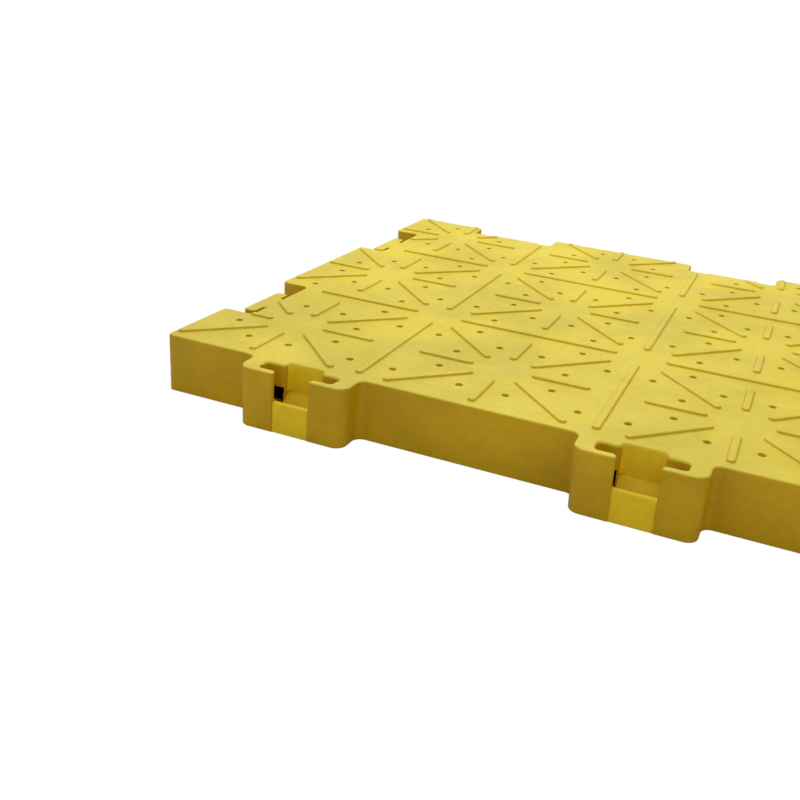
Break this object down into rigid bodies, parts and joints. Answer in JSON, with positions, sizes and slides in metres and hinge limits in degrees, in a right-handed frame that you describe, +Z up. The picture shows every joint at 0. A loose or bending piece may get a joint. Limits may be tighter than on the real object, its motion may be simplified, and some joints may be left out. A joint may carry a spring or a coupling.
{
  "type": "spill containment pallet",
  "caption": "Low square interlocking spill containment deck with drain holes and starburst grip ribs, over a shallow sump tray with load supports and a drain plug.",
  "frame": {"origin": "middle of the whole footprint, bosses included, on the ground", "axes": "+Z up; the front, with slotted bosses, is -Y; the right side, with slotted bosses, is +X; recesses with tongues are on +Y and -X"},
  "size_m": [1.258, 1.258, 0.1165],
  "materials": {
    "deck_polyethylene": "moulded, slightly satin, faintly mottled yellow",
    "tray_polyethylene": "moulded black, satin",
    "fitting_plastic": "injection moulded black, fine matte",
    "seal_rubber": "matte rubber"
  },
  "bodies": {
    "sump": {"sump_tray": "tray_polyethylene", "support_1": "tray_polyethylene", "support_2": "tray_polyethylene", "support_3": "tray_polyethylene", "support_4": "tray_polyethylene", "support_5": "tray_polyethylene", "support_6": "tray_polyethylene", "support_7": "tray_polyethylene", "support_8": "tray_polyethylene", "support_9": "tray_polyethylene", "bush_gasket": "seal_rubber", "drain_bush": "fitting_plastic", "bush_nut": "fitting_plastic"},
    "deck": {"deck": "deck_polyethylene"},
    "plug_seat": {"plug_seal": "seal_rubber"},
    "plug": {"drain_plug": "fitting_plastic"}
  },
  "joints": [
    {"name": "deck_lift", "type": "slide", "parent": "sump", "child": "deck", "axis": [0, 0, 1], "range_m": [0, 0.15]},
    {"name": "plug_travel", "type": "slide", "parent": "sump", "child": "plug_seat", "axis": [0, 1, 0], "range_m": [0, 0.01203]},
    {"name": "plug_turn", "type": "hinge", "parent": "plug_seat", "child": "plug", "pos_m": [-0.029, 0.64, 0.018], "axis": [0, 1, 0], "range_deg": [0, 3240]}
  ],
  "couplings": [
    {"joint": "plug_travel", "follows": "plug_turn", "m_per_rad": 0.00021279}
  ]
}
